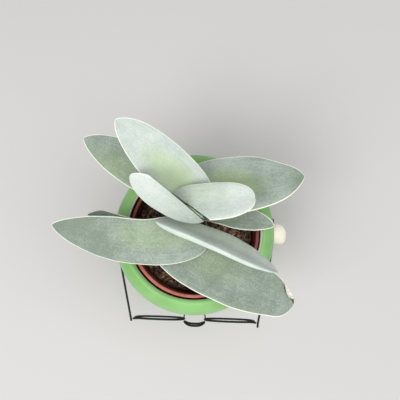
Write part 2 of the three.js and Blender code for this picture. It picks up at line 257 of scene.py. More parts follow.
def shaped(made, tool, operation):
    """The object joined with or cut by a tool object, which is used up."""
    modifier = made.modifiers.new(operation, "BOOLEAN")
    modifier.operation = operation
    modifier.solver = "MANIFOLD"
    modifier.object = tool
    baked(made)
    bpy.data.objects.remove(tool)
    return made


def smoothed(made, angle):
    """Smooth shading, with real edges kept where faces meet at more than an angle."""
    made.data.shade_smooth()
    made.data.set_sharp_from_angle(angle=math.radians(angle))
    return made


def hand_over(made, material, slot, *nodes):
    """Gives a finished piece its material and hides the solids that it stands for. Its slot is not
    used.
    """
    made.data.materials.clear()
    made.data.materials.append(material)
    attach(made, "root")
    if nodes:
        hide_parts(*nodes)
    print(made.name, len(made.data.polygons), "faces")
    return made


# %% [markdown]
# ## Rows of points
#
# Most pieces are rings of points in rows: round a stalk, along a leaf or up a pot. Quads join one
# ring to the next. A blunt end is closed by one flat face. A round end comes together in a pole,
# where a fan of triangles closes the skin.


# %% Rings and their faces
def turns(count):
    return [2 * math.pi * i / count for i in range(count)]


def circle(radius, count):
    return [Vector((radius * math.cos(t), radius * math.sin(t), 0)) for t in turns(count)]


def side_faces(rows, columns):
    faces = []
    for row in range(rows - 1):
        low, high = row * columns, (row + 1) * columns
        for here in range(columns):
            after = (here + 1) % columns
            faces.append((low + here, low + after, high + after, high + here))
    return faces


def rod_faces(rows, columns):
    """The faces of a rod with two flat ends."""
    first, last = range(columns), range((rows - 1) * columns, rows * columns)
    return side_faces(rows, columns) + [tuple(reversed(first)), tuple(last)]


def pod_faces(rows, columns):
    """The faces of a pod whose two poles come after all the rows."""
    faces, last = side_faces(rows, columns), (rows - 1) * columns
    start, end = rows * columns, rows * columns + 1
    for here in range(columns):
        after = (here + 1) % columns
        faces += [(start, after, here), (end, last + here, last + after)]
    return faces


# %% [markdown]
# ## The stem and the rule of the leaves
#
# The plant is a stack of opposite pairs on one leaning stem. Each leaf is a blade swept along a
# midline that starts beside the stem and bends like a sickle. The table below holds the values of
# the solids, so each fine leaf lies where its solid does. `trims` are small corrections of an
# outline, seen in the photo: an edge, an amount, and where it starts and fades. The bloom value is
# partly how much of the pale powder a leaf carries, as the young ones at the top have the most, and
# partly painted light: it paints high leaves paler and low ones darker. The fade value paints the
# change along a leaf, partly powder and partly painted shade on some tips.

# %% Stem and leaf table
STEM_FOOT, STEM_TOP = Vector((-8, 1, 72)), Vector((-0.8, 12.6, 134))
STEM_RADIUS, STEM_TOP_RADIUS, STEM_TAPER = 5.2, 3.6, 6
GAP = 0.3
SLIT, SLIT_DIRECTION = 1.2, -38


def leaf(start, base, heading, turn, size, rise, roll, clasp, widest, **looks):
    """One leaf: its start beside the stem, the height of its base, the way it heads and turns, its
    length, width and thickness, how it rises and rolls, how far it clasps the stem and where it
    is widest. Then come its looks."""
    plain = dict(point=0.66, slit_side=0, channel=0.3, blunt=0.8)
    plain |= dict(bloom=0.5, blush=0.3, blush_at=(0.35, 0), rolled=0, wave=0.35)
    plain |= dict(margin=0.8, edge_colour=(242, 247, 228), fade=0, torn=False, trims=())
    shape = dict(start=start, base=base, heading=heading, turn=turn, size=size)
    return plain | shape | dict(rise=rise, roll=roll, clasp=clasp, widest=widest) | looks


LEAVES = {
    "leaf_a": leaf((13, 9), 100, 144, 10, (112, 33, 6), (12, 6), (4, 10), 6, 0.55,
                   bloom=0.14, fade=-0.05, blush=0.35, blush_at=(0.6, 0.5)),
    "leaf_b": leaf((13, 2), 123.8, 129, 16, (95, 36, 6.2), (25, 17), (4, 8), 2, 0.5,
                   bloom=0.5, fade=0.05, blush=0.75, blush_at=(0.38, 0.1), rolled=1,
                   trims=(("right", -0.14, 0.62, 0.3),)),
    "leaf_c": leaf((10, -7), 139.5, 159, -14, (62, 27, 6), (20, 8), (50, 44), 0, 0.5,
                   point=0.56, slit_side=-1, channel=-0.25, bloom=0.56, fade=0.45, blush=0.1,
                   margin=0.5),
    "leaf_d": leaf((-18, 6.4), 138, -7, 15, (62.5, 27.5, 6), (18, 6), (6, 8), 0, 0.57,
                   point=0.4, slit_side=1, channel=0.45, bloom=0.48, fade=0.3, blush=0.2,
                   blush_at=(0.45, 0.3), margin=0.65, trims=(("left", -0.05, 0.5, 0.3),)),
    "leaf_e": leaf((-12, 24), 111.2, 0, 8, (100, 44, 6.2), (18, 4), (4, 8), -2, 0.48,
                   bloom=0.24, fade=-0.25, blush=0.75, blush_at=(0.38, -0.1), rolled=-1,
                   trims=(("left", -0.1, 0.85, 0.12), ("right", 0.06, 0.85, 0.12))),
    "leaf_f": leaf((2, 8), 93.6, 4, -24, (69, 20, 4.4), (16, 12), (2, 4), -4, 0.55,
                   bloom=0.1, fade=0.1, blush=0.2, trims=(("right", -0.7, 0.0, 0.38),)),
    "leaf_g": leaf((14, -18), 112, 182, -17, (118, 34, 6.6), (10, 2), (8, 14), -4, 0.46,
                   bloom=0.12, fade=-0.3, blush=0.35, blush_at=(0.3, -0.3), rolled=1,
                   trims=(("left", 0.06, 0.5, 0.3), ("right", 0.14, 0.27, 0.1),
                          ("right", -0.05, 0.5, 0.12))),
    "leaf_h": leaf((0, -6), 105, 178, -13, (80, 17, 4.6), (6, 3), (2, 4), -3, 0.55,
                   bloom=0.06, fade=-0.1, blush=0.1,
                   trims=(("right", -0.85, 0.25, 0.42), ("right", 0.3, 0.9, 0.1))),
    "leaf_i": leaf((-26.3, -5.3), 128.8, -14.7, -16.5, (97.5, 29, 7), (6, -10), (61, 57), 0, 0.6,
                   point=0.77, channel=0.5, blunt=0.5, bloom=0.55, blush=0.3, blush_at=(0.5, 0.2),
                   margin=0.3, edge_colour=(220, 234, 218), trims=(("left", 0.07, 0.52, 0.14),)),
    "leaf_j": leaf((-28, -15), 98.5, -25, 4, (119, 41, 6), (12, -3), (4, 2), 11, 0.58,
                   point=0.5, bloom=0.1, blush=0.25, blush_at=(0.35, 0.3), torn=True,
                   trims=(("left", -0.3, 0.955, 0.05), ("right", 0.22, 0.96, 0.07))),
}
print("leaves:", len(LEAVES))


def stem_axis(height):
    return STEM_FOOT.lerp(STEM_TOP, (height - STEM_FOOT.z) / (STEM_TOP.z - STEM_FOOT.z))


def stem_rod(name, radius, over=0):
    """A plain rod round the stem's axis, used to cut the room for the stem."""
    low, high = stem_axis(STEM_FOOT.z), stem_axis(STEM_TOP.z + over)
    lean = Vector((0, 0, 1)).rotation_difference(high - low)
    points = [end + lean @ spot for end in (low, high) for spot in circle(radius, 64)]
    return mesh_object(name, points, rod_faces(2, 64))


# %% [markdown]
# The midline and its axes come first. `left` points across the blade and `up` out of its face.
# `share_at` is how wide the leaf is at a share of its length: a rounded base, then a point.


# %% Midline and width
def leaf_frames(one, count=161):
    """Along the midline: the share of the length, the place, and the axes across and up."""
    length = one["size"][0]
    share = np.linspace(0, 1, count)
    rise = np.radians(np.interp(share, (0, 1), one["rise"]))
    roll = np.radians(np.interp(share, (0, 1), one["roll"]))[:, None]
    turn = np.radians(one["heading"] + one["turn"] * share)
    ahead = np.stack([np.cos(rise) * np.cos(turn), np.cos(rise) * np.sin(turn), np.sin(rise)], 1)
    level = np.stack([-np.sin(turn), np.cos(turn), 0 * turn], 1)
    left = level * np.cos(roll) - np.cross(ahead, level) * np.sin(roll)
    axis = stem_axis(one["base"])
    start = np.array([axis.x + one["start"][0], axis.y + one["start"][1], one["base"]])
    place = start + np.vstack([np.zeros(3), np.cumsum(ahead[:-1], 0) * length / (count - 1)])
    return share, place, left, np.cross(ahead, left)


def share_at(u, widest, point):
    if u < widest:
        return math.sqrt(max(0, 1 - (1 - u / widest) ** 2.6))
    return max(0, 1 - ((u - widest) / (1 - widest)) ** 2) ** point


def beside_stem(share, place):
    """The share of the length where the midline passes closest to the stem."""
    away = [math.dist(p[:2], stem_axis(p[2])[:2]) for p in place]
    return share[int(np.argmin(away))]


# %% [markdown]
# ## A leaf's body
#
# Real leaves of this plant aren't flat plates. The face is a shallow channel, the back is keeled,
# the edge is thick and round, and the outline wavers a little. Each point keeps three numbers for
# the finish: how far along the leaf it is, how far across, and how many millimetres in from the
# edge, which are counted below zero on the back. A sculpted plate could look as good, but ten
# leaves from one rule stay easy to change.

# %% Section of a blade
ALONG, AROUND = 92, 56
WAVER, WAVER_SCALE = 0.35, 9
CLASP_SPREAD, CHANNEL_SPREAD, KEEL_SPREAD = 0.16, 0.5, 0.35
CUP, KEEL, ROLL_FROM, ROLL_DEPTH = 0.1, 0.12, 0.6, 0.55


def hump(value, middle, spread):
    """1 at the middle, and near 0 at twice the spread."""
    return math.exp(-(((value - middle) / spread) ** 2))


def trimmed(one, edge, u):
    """How wide one side is, as a share of the plain outline."""
    trims = [trim for trim in one["trims"] if trim[0] == edge]
    return 1 + sum(amount * hump(u, middle, spread) for _, amount, middle, spread in trims)


def half_width(one, edge, u, share, reach, seed):
    waver = noise.noise(Vector((u * WAVER_SCALE, seed, 0.5)))
    width = one["size"][1] / 2 * share * trimmed(one, edge, u)
    return width + max(0, reach) + WAVER * share * waver


def face_rise(one, u, across, over, body, half):
    """How high a point of the section lies above the midline."""
    bulge = math.copysign(abs(over) ** (one["blunt"] if across < 0 else 0.8), over)
    rise = body * bulge + CUP * half * (across * across - 0.4)
    if over > 0:
        rise -= one["channel"] * body * hump(across, 0, CHANNEL_SPREAD) * min(1, 4 * u)
    else:
        rise -= KEEL * body * hump(across, 0, KEEL_SPREAD)
    turned = one["rolled"] * across - ROLL_FROM
    if turned > 0 and over > -0.2:
        rise -= ROLL_DEPTH * body * turned / (1 - ROLL_FROM) * min(1, max(0, 3 * (u - 0.25)))
    return rise


def blade_section(one, seed, u, place, left, up, beside):
    length, _, thick = one["size"]
    share = share_at(u, one["widest"], one["point"])
    reach = hump(u, beside, CLASP_SPREAD) * one["clasp"]
    half_left = half_width(one, "left", u, share, reach, seed)
    half_right = half_width(one, "right", u, share, -reach, seed + 7)
    half, middle = (half_left + half_right) / 2, (half_left - half_right) / 2
    body = thick / 2 * (1.1 - 0.45 * u) * min(1, share * 1.15)
    ring, marks = [], []
    for t in turns(AROUND):
        across, over = math.cos(t), math.sin(t)
        swell = noise.noise(Vector((u * length / 16, across * half / 12, seed)))
        rise = face_rise(one, u, across, over, body, half) + one["wave"] * swell * share
        ring.append(place + left * (half * across + middle) + up * rise)
        marks.append((u, across, math.copysign(half * (1 - abs(across)), over)))
    return ring, marks


# %% [markdown]
# The sections stand closer together at the base and at the tip, where the outline curves most.


# %% Blade
def blade(name, one, seed):
    """The whole closed blade, its points and their marks, and its place beside the stem."""
    midline = leaf_frames(one)
    share, place = midline[:2]
    beside = beside_stem(share, place)
    points, marks = [], []
    for k in range(1, ALONG):
        at = (1 - math.cos(k / ALONG * math.pi)) / 2 * (len(share) - 1)
        low, part = int(at), at - int(at)
        high = min(low + 1, len(share) - 1)
        u, *axes = (axis[low] * (1 - part) + axis[high] * part for axis in midline)
        ring, ring_marks = blade_section(one, seed, u, *axes, beside)
        points += ring
        marks += ring_marks
    points += [place[0], place[-1]]
    marks += [(0, 0, 0), (1, 0, 0)]
    made = mesh_object(name, points, [face[::-1] for face in pod_faces(ALONG - 1, AROUND)])
    return made, points, marks, place[int(np.argmin(np.abs(share - beside)))]


# %% [markdown]
# ## Seating a leaf on the stem
#
# The solids are cut to fit round the stem, with a clearance of 0.3 mm, and so are these. The two
# top leaves stand on the stem's end by a short foot, and a narrow slit between them shows the
# shoot. After the cuts, the marks are carried over from the nearest point of the uncut blade.


# %% Seats and marks
BLOCK = 200


def foot(under):
    """A short, widening rod from the stem's end to the underside of a top leaf."""
    low, under, rows, sides = stem_axis(STEM_TOP.z - 4), Vector(under), 9, 32
    lean = Vector((0, 0, 1)).rotation_difference(under - low)
    points = []
    for share in np.linspace(0, 1, rows):
        ring = circle(3 + 0.6 * share + 1.2 * share**3, sides)
        points += [low.lerp(under, share) + lean @ spot for spot in ring]
    return mesh_object("foot", points, rod_faces(rows, sides))


def slit_block(side):
    """The half space beyond one side of the slit, as a large block."""
    across = math.radians(SLIT_DIRECTION + 90)
    outward = Vector((math.cos(across), math.sin(across), 0)) * side
    middle = stem_axis(STEM_TOP.z) + outward * (SLIT - BLOCK / 2)
    place = Matrix.Translation(middle * MM) @ Matrix.Rotation(across, 4, "Z")
    return plain_shape("slit", bmesh.ops.create_cube, place, size=BLOCK * MM)


def carry_marks(made, points, marks):
    """Gives each point of a cut leaf the marks of the nearest point of its whole blade."""
    tree = kdtree.KDTree(len(points))
    for i, point in enumerate(points):
        tree.insert(Vector(point) * MM, i)
    tree.balance()
    near = [tree.find(v.co)[1] for v in made.data.vertices]
    values = np.array(marks, np.float32)[near]
    attribute = made.data.attributes.new("leaf_at", "FLOAT_VECTOR", "POINT")
    attribute.data.foreach_set("vector", values.ravel())


def seated_leaf(name, one, seed):
    made, points, marks, beside = blade(name + "_blade", one, seed)
    if one["slit_side"]:
        shaped(made, foot(beside), "UNION")
    shaped(made, stem_rod("room", STEM_RADIUS + GAP, over=GAP), "DIFFERENCE")
    if one["slit_side"]:
        shaped(made, slit_block(one["slit_side"]), "DIFFERENCE")
    carry_marks(made, points, marks)
    return smoothed(made, 48)


# %% [markdown]
# ## The leaf's finish
#
# Under a powdery, blue-white bloom the flesh is grey-green. The bloom is thick on young leaves and
# rubbed off in soft patches on old ones. How pale each leaf is, and how that changes towards its
# tip, is partly this bloom and partly painted light and shade: high leaves are painted paler, and
# low leaves and some tips darker. A yellow-green blush shows where the leaf is thickest, and a thin
# cream line runs along the whole edge. That pale margin is real, and it is painted paler still as a
# painted highlight on the round edge. Fine streaks follow the length of the leaf, and a grain of
# tiny bumps makes the surface look like velvet. The edge line and the blush could be painted by
# hand. Here they read the marks of the blade, so they fit every leaf at once.

# %% Leaf finish
FLESH, BLOOM = srgb(115, 129, 115), srgb(222, 231, 227)
BLUSH, DRY_AND_SHADOW = srgb(174, 202, 128), srgb(74, 62, 48)
STREAK_LENGTH, STREAK_WIDTH, EDGE_LINE = 22, 4.5, 0.7
BLUSH_LONG, BLUSH_WIDE = 0.34, 0.75


def leaf_finish(name, one, seed):
    finish = Finish(name, roughness=0.62, specular_ior_level=0.3, sheen_weight=0.12)
    at = finish.node("ShaderNodeAttribute", output="Vector", attribute_name="leaf_at")
    u, across, inland = finish.parts(at)
    length, width, _ = one["size"]
    lengthways = finish.node("ShaderNodeCombineXYZ", {
        "X": u * (length / STREAK_LENGTH), "Y": across * (width / STREAK_WIDTH), "Z": seed
    })
    mottle = finish.noise(70, detail=5, roughness=0.65)
    streaks = finish.noise(1.0, detail=5, roughness=0.75, vector=lengthways)
    speckle = finish.noise(900, detail=3, roughness=0.8)
    grain = finish.noise(2400, detail=2)
    blush_u, blush_across = one["blush_at"]
    away = ((u - blush_u) / BLUSH_LONG) ** 2 + ((across - blush_across) / BLUSH_WIDE) ** 2
    blush = away.ramp(1.4, 0.0) * one["blush"]
    powder = 0.8 - 0.5 * one["bloom"]
    # Painted light and shade: this share is partly real powder, and partly paints high leaves paler
    # and low leaves and some tips darker.
    bloom = (mottle - 0.5) * 0.45 + (streaks - 0.5) * 0.35 + (speckle - 0.5) * powder
    bloom = bloom + u * one["fade"] + (one["bloom"] - one["fade"] / 2) - blush * 0.08
    colour = finish.mix(bloom.math("MAXIMUM", 0.0).math("MINIMUM", 1.0), FLESH, BLOOM)
    colour = finish.mix(blush * 0.55, colour, BLUSH)
    # Partly a painted highlight: the real pale margin is painted paler still, for the light on the
    # round edge.
    edge = (abs(inland) + (speckle - 0.5) * 0.8).ramp(EDGE_LINE * 1.3, EDGE_LINE * 0.7)
    colour = finish.mix(edge * one["margin"], colour, srgb(*one["edge_colour"]))
    # Dried skin and painted shadow: under the curled flap the torn leaf is painted dark brown.
    if one["torn"]:
        tear_and_shadow = u.ramp(0.9, 0.91) * across.ramp(0.1, 0.3)
        tear_and_shadow = tear_and_shadow * inland.ramp(3.4, 3.0) * inland.ramp(0.2, 0.5)
        colour = finish.mix(tear_and_shadow * 0.9, colour, DRY_AND_SHADOW)
    finish.bump(grain * 0.4 + speckle * 0.6 + streaks * 1.2, 0.35, 0.6)
    return finish.paint(colour, 0.58 + speckle * 0.14)


# %% [markdown]
# Each leaf stands for the solid of its name. Its number shifts the patterns, so that no two
# leaves have the same patches.

# %% The ten leaves
for number, (name, one) in enumerate(LEAVES.items()):
    made = seated_leaf(name, one, seed=3.7 * (number + 1))
    hand_over(made, leaf_finish(name + "_bloom", one, number), "leaf", name)

# %% [markdown]
# ## The dry flap
#
# The oldest leaf has a torn corner. A strip of its skin has dried, turned whitish and curled up
# along the edge near the tip. A cloth simulation could curl it, but a thin closed band along the
# leaf's own midline is enough, and its place stays exact.


# %% Dry flap
FLAP_FROM, FLAP_TO, FLAP_HALF_THICK = 0.9, 0.988, 0.22
FLAP_BREADTH, FLAP_OVERHANG, FLAP_CURL, FLAP_TUCK = 4.6, 1.1, 1.7, 1.6


def dry_flap(one):
    _, place, left, up = leaf_frames(one, 2001)
    _, width, thick = one["size"]
    rows, columns = 46, 8
    points = []
    for row in range(rows):
        part = row / (rows - 1)
        u = FLAP_FROM + (FLAP_TO - FLAP_FROM) * part
        at = int(u * 2000)
        half = width / 2 * share_at(u, one["widest"], one["point"]) * trimmed(one, "left", u)
        top = thick / 2 * (1.1 - 0.45 * u) * 0.9
        breadth = FLAP_BREADTH * math.sin(math.pi * (0.05 + part * 0.92)) ** 0.5 + 0.15
        wobble = 0.5 * noise.noise(Vector((u * 60, 3, 1)))
        for thickness, order in ((FLAP_HALF_THICK, 1), (-FLAP_HALF_THICK, -1)):
            for k in range(columns)[::order]:
                bend = k / (columns - 1)
                outwards = half + FLAP_OVERHANG + wobble - breadth * (1 - bend**2)
                height = top + 0.15 + thickness
                height += FLAP_CURL * (1 - bend) ** 1.5 - FLAP_TUCK * bend**3
                points.append(place[at] + left[at] * outwards + up[at] * (height + wobble * 0.4))
    faces = [face[::-1] for face in rod_faces(rows, 2 * columns)]
    return smoothed(mended(mesh_object("dry_flap", points, faces)), 50)


parchment = Finish("dry_skin", roughness=0.85)
wrinkles = parchment.noise(900, detail=4)
skin_colour = parchment.mix(wrinkles.ramp(0.4, 0.68), srgb(246, 246, 236), srgb(214, 208, 188))
parchment.bump(wrinkles, 0.4, 0.8)
hand_over(dry_flap(LEAVES["leaf_j"]), parchment.paint(skin_colour), "leaf")

# %% [markdown]
# ## Stem and shoot
#
# The short stem is dull grey-green, with faint ribs and a ring where each leaf has its seat. It
# could be a plain cylinder with bumps in its material, but its ribs show from the side.


# %% Stem
SEAT_RING, SEAT_SPREAD, RIB, RIBS = 0.3, 1.1, 0.12, 9


def stem_piece():
    low, high = STEM_FOOT.z + GAP, STEM_TOP.z
    seats = [one["base"] for one in LEAVES.values()]
    lean = Vector((0, 0, 1)).rotation_difference(STEM_TOP - STEM_FOOT)
    sides, rows = 48, 90
    points = []
    for row in range(rows):
        height = low + (high - low) * row / (rows - 1)
        taper = max(0, (height - (high - STEM_TAPER)) / STEM_TAPER)
        radius = STEM_RADIUS - 0.35 + (STEM_TOP_RADIUS - STEM_RADIUS) * taper
        radius += SEAT_RING * max(hump(height, seat, SEAT_SPREAD) for seat in seats)
        for t, spot in zip(turns(sides), circle(1, sides)):
            grain = noise.noise(Vector((spot.x * 2, spot.y * 2, height * 0.3)))
            ribs = RIB * math.sin(RIBS * t + height * 0.2) + 0.1 * grain
            points.append(stem_axis(height) + lean @ (spot * (radius + ribs)))
    return smoothed(mesh_object("stem_stalk", points, rod_faces(rows, sides)), 50)


stem_finish = Finish("stem_bark", roughness=0.8)
patches = stem_finish.noise(160, detail=5)
stem_colour = stem_finish.mix(patches.ramp(0.35, 0.7), srgb(118, 128, 92), srgb(168, 176, 148))
stem_finish.bump(stem_finish.noise(900) + patches * 2, 0.3, 0.8)
hand_over(stem_piece(), stem_finish.paint(stem_colour), "stem", "stem")

# %% [markdown]
# The two youngest leaves stand face to face in the slit between the top pair, so only a green
# sliver shows from above. Each one is a thin pod, and the two are joined to one piece. The rule
# of the big leaves would give them details that nobody can see.


# %% Shoot
SHOOT_LONG, SHOOT_TALL, SHOOT_THICK, SHOOT_SPLAY = 8, 6, 0.7, 5


def young_leaf(side):
    """One of the two small leaves, thin across the slit and pointed at its outer end."""
    rows, sides = 30, 28
    points = []
    for row in range(1, rows):
        turn = math.pi * row / rows
        along = -math.cos(turn)
        reach = math.sin(turn) ** (0.8 if along < 0 else 1.1)
        for t in turns(sides):
            thick = SHOOT_THICK * reach * math.sin(t)
            tall = SHOOT_TALL * reach * math.cos(t) + 0.5 * along
            points.append(Vector((SHOOT_LONG * along, thick, tall)))
    points += [Vector((-SHOOT_LONG, 0, -0.5)), Vector((SHOOT_LONG, 0, 0.5))]
    splay = Euler((0, math.radians(side * SHOOT_SPLAY), 0)).to_matrix()
    turn = Euler((0, 0, math.radians(SLIT_DIRECTION))).to_matrix()
    top = stem_axis(STEM_TOP.z)
    centre = Vector((top.x + 1.6, top.y - 1.2, top.z + SHOOT_TALL + GAP))
    apart = Vector((side * 0.7, side * 0.7 / 3, 0))
    placed = [centre + turn @ (splay @ p + apart) for p in points]
    return mesh_object("young_leaf", placed, pod_faces(rows - 1, sides))


shoot_piece = shaped(young_leaf(-1), young_leaf(1), "UNION")
shoot_piece.name = "shoot_pair"
shoot_finish = Finish("shoot_green", roughness=0.6)
shoot_mask = shoot_finish.noise(300, detail=3).ramp(0.3, 0.7)
shoot_colour = shoot_finish.mix(shoot_mask, srgb(140, 162, 122), srgb(184, 200, 170))
shoot_finish.bump(shoot_finish.noise(1200), 0.15, 0.5)
hand_over(smoothed(shoot_piece, 60), shoot_finish.paint(shoot_colour), "leaf", "shoot")

# %% [markdown]
# ## Potting soil
#
# Potting soil is dark peat with bits of bark and pale coir fibres. The bed is a closed body whose
# top follows the same mounds as the solid, with finer lumps. A displaced grid would do as well, but
# this one closes against the pot and has a hole for the stem. The loose bits come after it.

# %% Soil bed
POT_FLOOR, NURSERY_HEIGHT, BASE, WALL = 7.5, 93.5, 1.7, 1.2
POT_FOOT, POT_SHOULDER = 37, 49.2
NURSERY_LOW = POT_FLOOR + GAP
NURSERY_TOP = NURSERY_LOW + NURSERY_HEIGHT
SOIL_TOP = NURSERY_TOP - 12
SOIL_SIDE = POT_SHOULDER - WALL - 0.9


def soil_height(x, y):
    mounds = math.sin(x * 0.31 + y * 0.17) * math.cos(y * 0.37 - x * 0.11)
    crumbs = 0.5 * math.sin(x * 0.9) * math.sin(y * 0.8 + 1)
    fine = noise.fractal(Vector((x * 0.35, y * 0.35, 4)), 0.9, 2.1, 4)
    return SOIL_TOP + 0.9 * (mounds + crumbs) + 0.55 * fine


def soil_bed():
    sides, rings = 150, 52
    low = POT_FLOOR + GAP + BASE + GAP
    points = [(x, y, low) for x, y, _ in circle(POT_FOOT - WALL - 2 * GAP, sides)]
    points += [(x, y, SOIL_TOP - 3) for x, y, _ in circle(SOIL_SIDE, sides)]
    for ring in range(rings):
        radius = SOIL_SIDE * (1 - (ring + 0.35) / (rings + 0.35))
        points += [(x, y, soil_height(x, y)) for x, y, _ in circle(radius, sides)]
    made = mesh_object("soil_bed", points, rod_faces(rings + 2, sides))
    return smoothed(shaped(made, stem_rod("hole", STEM_RADIUS + GAP), "DIFFERENCE"), 55)


def soil_finish(name, dark, light, pale):
    finish = Finish(name, roughness=0.95, specular_ior_level=0.15)
    lumps = finish.noise(420, detail=4)
    shreds = finish.noise(1100, detail=3)
    colour = finish.mix(lumps.ramp(0.38, 0.66), dark, light)
    colour = finish.mix(shreds.ramp(0.62, 0.74) * 0.7, colour, pale)
    finish.bump(lumps * 2 + shreds, 0.6, 0.9)
    return finish.paint(colour)


peat = soil_finish("damp_peat", srgb(34, 25, 19), srgb(98, 75, 61), srgb(150, 122, 102))
hand_over(soil_bed(), peat, "potting_soil", "soil")

# %% [markdown]
# ## Trees that grow things
#
# Loose bits that repeat by the hundred are a job for Geometry Nodes. A tree here has named inputs
# and a seed, and it ends in real geometry, so that the bits are mesh as well. The scatter grows on
# a sheet: the open top of the bed, without the ring next to the pot and the stem's own place.


# %% Trees and sheets
def scatter_sheet(name, reach, keep_off):
    step = 1.6
    axis = stem_axis(SOIL_TOP)
    count = int(2 * reach / step)
    spots, faces, index = [], [], {}
    for i in range(count + 1):
        for j in range(count + 1):
            x, y = -reach + i * step, -reach + j * step
            far = math.hypot(x - axis.x, y - axis.y) > keep_off
            if math.hypot(x, y) < reach and far:
                index[i, j] = len(spots)
                spots.append((x, y, soil_height(x, y)))
    for i, j in index:
        corners = [(i, j), (i + 1, j), (i + 1, j + 1), (i, j + 1)]
        if all(corner in index for corner in corners):
            faces.append([index[corner] for corner in corners])
    return mesh_object(name, spots, faces)


def grown(made, tree, material, **sizes):
    """The sheet with what a tree grows on it, as plain mesh."""
    modifier = made.modifiers.new("grow", "NODES")
    modifier.node_group = tree
    sizes["Material"] = material
    for item in tree.interface.items_tree:
        key = item.name.replace(" ", "_")
        if item.in_out == "INPUT" and key in sizes:
            modifier[item.identifier] = sizes[key]
    return baked(made)


def tree_with(name, **inputs):
    """A Geometry Nodes tree with named inputs, and its graph."""
    tree = bpy.data.node_groups.new(name, "GeometryNodeTree")
    tree.interface.new_socket("Geometry", in_out="INPUT", socket_type="NodeSocketGeometry")
    for title, kind in inputs.items():
        tree.interface.new_socket(title, in_out="INPUT", socket_type="NodeSocket" + kind)
    tree.interface.new_socket("Material", in_out="INPUT", socket_type="NodeSocketMaterial")
    tree.interface.new_socket("Geometry", in_out="OUTPUT", socket_type="NodeSocketGeometry")
    graph = Graph(tree)
    source = graph.node("NodeGroupInput").socket.node
    sockets = {s.name: Value(graph, s) for s in source.outputs if s.name}
    return tree, graph, sockets


def ended(tree, graph, geometry, material):
    """Makes real geometry, sets the material and closes the tree."""
    real = graph.node("GeometryNodeRealizeInstances", {"Geometry": geometry})
    whole = graph.node("GeometryNodeSetMaterial", {"Geometry": real, "Material": material})
    graph.node("NodeGroupOutput", {0: whole})
    return tree


# %% [markdown]
# Two steps come back in several trees: a round section swept along a path, and copies of a bit
# that are sown over the sheet and then crumpled.


# %% Steps of the trees
def swept(graph, path, sides, radius):
    """A round section swept along a path, with closed ends."""
    section = {"Resolution": sides, "Radius": radius}
    section = graph.node("GeometryNodeCurvePrimitiveCircle", section)
    along = {"Curve": path, "Profile Curve": section, "Fill Caps": True}
    return graph.node("GeometryNodeCurveToMesh", along)


def sown(graph, given, bit, least, most, turn_from, turn_to):
    """Copies of a bit on the sheet, each sized and turned by chance, as real geometry."""
    seed = given["Seed"]
    spread = {"Mesh": given["Geometry"], "Density": given["Density"], "Seed": seed}
    spots = graph.node("GeometryNodeDistributePointsOnFaces", spread)
    size = {2: given[least], 3: given[most], "Seed": seed}
    size = graph.node("FunctionNodeRandomValue", size, output=1, data_type="FLOAT")
    turn = {0: turn_from, 1: turn_to, "Seed": seed}
    turn = graph.node("FunctionNodeRandomValue", turn, output=0, data_type="FLOAT_VECTOR")
    placing = {"Points": spots, "Instance": bit, "Rotation": turn, "Scale": size}
    copies = graph.node("GeometryNodeInstanceOnPoints", placing)
    return graph.node("GeometryNodeRealizeInstances", {"Geometry": copies})


def crumpled(graph, geometry, scale, detail, middle, amount):
    """Moves every point by a noise, so that no two bits are alike."""
    place = graph.node("GeometryNodeInputPosition")
    pattern = {"Vector": place, "Scale": scale, "Detail": detail}
    wobble = graph.node("ShaderNodeTexNoise", pattern, output="Color")
    wobble = graph.node("ShaderNodeVectorMath", {0: wobble, 1: middle}, operation="SUBTRACT")
    offset = graph.node("ShaderNodeVectorMath", {0: wobble, "Scale": amount}, operation="SCALE")
    return graph.node("GeometryNodeSetPosition", {"Geometry": geometry, "Offset": offset})


# %% [markdown]
# The crumbs are bits of bark and peat, a millimetre or two across. Each one starts as a ball of
# only twenty faces, because there are over a thousand of them, and the noise breaks it up.


# %% Crumbs
def crumb_tree():
    tree, graph, given = tree_with("crumbs", Density="Float", Smallest="Float",
                                   Largest="Float", Roughness="Float", Seed="Int")
    lump = graph.node("GeometryNodeMeshIcoSphere", {"Radius": 1.0, "Subdivisions": 1})
    lumps = sown(graph, given, lump, "Smallest", "Largest", (0.0, 0.0, 0.0), (6.28, 6.28, 6.28))
    rough = crumpled(graph, lumps, 520.0, 2.0, (0.5, 0.5, 0.5), given["Roughness"])
    return ended(tree, graph, rough, given["Material"])


bark = soil_finish("bark_crumb", srgb(86, 64, 51), srgb(162, 130, 108), srgb(212, 188, 166))
crumbs = grown(scatter_sheet("soil_crumbs", 45.5, 8), crumb_tree(), bark, Density=190000.0,
               Smallest=0.0006, Largest=0.0019, Roughness=0.003, Seed=11)
hand_over(smoothed(crumbs, 60), bark, "potting_soil")

# %% [markdown]
# The fibres are coir: thin, pale and curved. Each one is a fine round section swept along a bow,
# and it lies nearly flat on the soil. Hair strands would be lighter, but they aren't mesh.


# %% Fibres
def fibre_tree():
    tree, graph, given = tree_with("fibres", Density="Float", Shortest="Float",
                                   Longest="Float", Thickness="Float", Seed="Int")
    bow = graph.node("GeometryNodeCurveQuadraticBezier", {
        "Resolution": 7, "Start": (-0.5, 0.0, 0.0), "Middle": (0.0, 0.25, 0.16),
        "End": (0.5, 0.0, 0.05),
    })
    strand = swept(graph, bow, 5, given["Thickness"])
    strands = sown(graph, given, strand, "Shortest", "Longest",
                   (-0.35, -0.45, 0.0), (0.35, 0.45, 6.28))
    bent = crumpled(graph, strands, 260.0, 1.0, (0.5, 0.5, 0.38), 0.004)
    return ended(tree, graph, bent, given["Material"])


